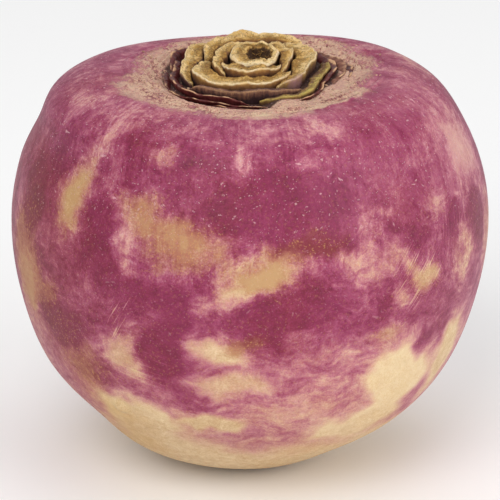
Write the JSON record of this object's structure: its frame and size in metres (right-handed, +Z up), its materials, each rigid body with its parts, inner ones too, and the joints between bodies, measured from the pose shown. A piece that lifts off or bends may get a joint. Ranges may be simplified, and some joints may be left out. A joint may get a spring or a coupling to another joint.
{
  "type": "turnip",
  "caption": "Purple-top turnip with its leaves cut off short: a broad round root that turns cream below, a corky crown and a rosette of cut leaf bases, standing on its trimmed taproot scar.",
  "frame": {"origin": "centre of the flat taproot scar that the turnip stands on", "axes": "+Z up the root's axis towards the crown; the front, where the crown leans, is -Y"},
  "size_m": [0.09, 0.0883, 0.0802],
  "materials": {
    "root_skin": "smooth thin skin with a soft waxy sheen, purple above and cream round the foot",
    "crown_heart": "dry cut stem, matt and fibrous",
    "leaf_base": "dry fibrous cut flesh with pale edges, matt",
    "green_leaf_base": "fresher yellow-green leaf base, matt",
    "dry_scale": "papery dark maroon scale, slightly glossy",
    "tan_scale": "papery pinkish tan scale, matt"
  },
  "bodies": {
    "root": {"root": "root_skin", "crown_heart": "crown_heart", "leaf_base_inner_front": "leaf_base", "leaf_base_inner_right": "leaf_base", "leaf_base_inner_left": "leaf_base", "leaf_base_front": "leaf_base", "leaf_base_right": "leaf_base", "leaf_base_back": "leaf_base", "leaf_base_left": "leaf_base", "leaf_base_ribbed": "leaf_base", "leaf_base_green": "green_leaf_base", "dry_scale_left": "dry_scale", "dry_scale_right": "dry_scale", "dry_scale_back": "dry_scale", "dry_scale_rim": "dry_scale", "dry_scale_side": "dry_scale", "dry_scale_front": "dry_scale", "dry_scale_tan": "tan_scale", "dry_scale_outer": "tan_scale"}
  },
  "joints": []
}
